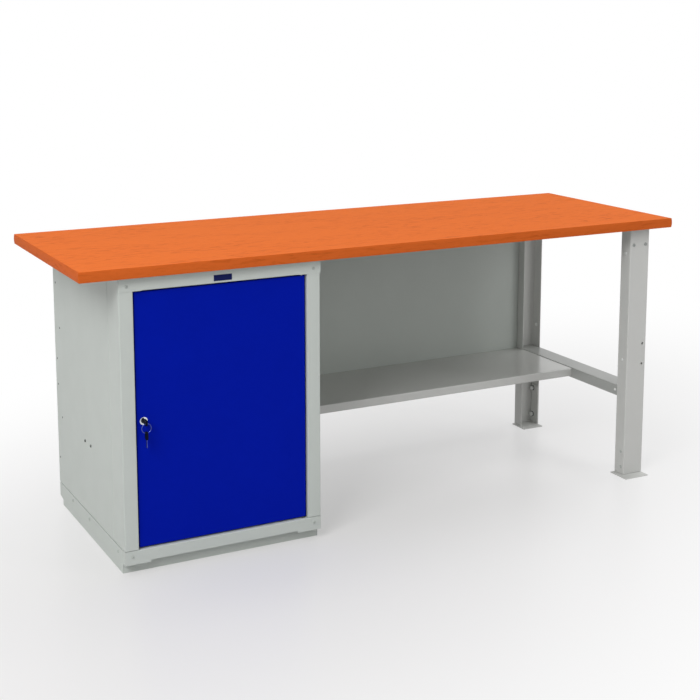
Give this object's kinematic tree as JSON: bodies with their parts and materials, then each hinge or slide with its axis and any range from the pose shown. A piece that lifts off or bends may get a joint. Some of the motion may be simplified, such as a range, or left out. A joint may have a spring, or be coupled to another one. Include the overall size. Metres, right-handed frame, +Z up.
{
  "type": "workbench with a cabinet",
  "caption": "Steel workbench with a wood-faced worktop, a lockable cabinet at one end, a channel leg frame at the other, and a lower shelf with a back screen between them.",
  "frame": {"origin": "on the floor, under the middle of the worktop", "axes": "+X along the length from the cabinet to the legs, +Y from the front to the back, +Z up"},
  "size_m": [2, 0.69, 0.875],
  "materials": {
    "worktop_face": "orange wood-grain laminate, satin",
    "worktop_edge": "orange wood-grain edge band, satin",
    "grey_paint": "light grey powder coat",
    "blue_paint": "ultramarine powder coat",
    "zinc_steel": "zinc-plated steel",
    "chrome": "polished chrome plate",
    "black_plastic": "black moulded plastic",
    "badge": "plain dark blue plate",
    "nylon": "natural nylon"
  },
  "bodies": {
    "bench": {"back_screen": "grey_paint", "badge_plate": "badge", "base_front_plinth": "grey_paint", "base_left_rail": "grey_paint", "base_rear_rail": "grey_paint", "base_right_rail": "grey_paint", "bottom_rail_bolt_left": "zinc_steel", "bottom_rail_bolt_right": "zinc_steel", "cabinet_back": "grey_paint", "cabinet_bottom_rail": "grey_paint", "cabinet_floor": "grey_paint", "cabinet_left_bearer": "grey_paint", "cabinet_left_post": "grey_paint", "cabinet_left_side": "grey_paint", "cabinet_right_bearer": "grey_paint", "cabinet_right_post": "grey_paint", "cabinet_right_side": "grey_paint", "cabinet_top_rail": "grey_paint", "crossbar": "grey_paint", "crossbar_bolt": "zinc_steel", "front_foot": "grey_paint", "front_head_bolt_1": "zinc_steel", "front_head_bolt_2": "zinc_steel", "front_head_bracket": "grey_paint", "front_leg": "grey_paint", "hinge_pin_bottom": "zinc_steel", "hinge_pin_top": "zinc_steel", "hinge_washer": "nylon", "inner_shelf": "grey_paint", "inner_shelf_left_support": "grey_paint", "inner_shelf_right_support": "grey_paint", "lower_shelf": "grey_paint", "rear_foot": "grey_paint", "rear_foot_bolt_1": "zinc_steel", "rear_foot_bolt_2": "zinc_steel", "rear_head_bracket": "grey_paint", "rear_leg": "grey_paint", "shelf_bracket": "grey_paint", "support_bolt_1": "zinc_steel", "support_bolt_2": "zinc_steel", "top_rail_bolt_left": "zinc_steel", "top_rail_bolt_right": "zinc_steel", "worktop_board": "worktop_face", "worktop_edge_front": "worktop_edge", "worktop_edge_left": "worktop_edge", "worktop_edge_rear": "worktop_edge", "worktop_edge_right": "worktop_edge"},
    "door": {"door_panel": "blue_paint", "door_stiffener": "blue_paint", "lock_housing": "chrome", "lock_nut": "zinc_steel"},
    "lock": {"lock_plug": "chrome", "lock_cam": "zinc_steel", "cam_screw": "zinc_steel"},
    "key": {"key_head": "black_plastic", "key_blade": "zinc_steel"},
    "ring": {"key_ring": "chrome"},
    "spare_key": {"spare_key_head": "black_plastic", "spare_key_blade": "zinc_steel"}
  },
  "joints": [
    {"name": "door_hinge", "type": "hinge", "parent": "bench", "child": "door", "pos_m": [-0.334, -0.306, 0], "axis": [0, 0, 1], "range_deg": [0, 100]},
    {"name": "lock_turn", "type": "hinge", "parent": "door", "child": "lock", "pos_m": [-0.82, -0.3, 0.4375], "axis": [0, 1, 0], "range_deg": [0, 90]},
    {"name": "key_pull", "type": "slide", "parent": "lock", "child": "key", "axis": [0, -1, 0], "range_m": [0, 0.03]},
    {"name": "ring_swing", "type": "hinge", "parent": "key", "child": "ring", "pos_m": [-0.82, -0.3355, 0.4359], "axis": [1, 0, 0], "range_deg": [-60, 6]},
    {"name": "spare_key_swing", "type": "hinge", "parent": "ring", "child": "spare_key", "pos_m": [-0.82, -0.3355, 0.4089], "axis": [1, 0, 0], "range_deg": [-60, 6]}
  ]
}
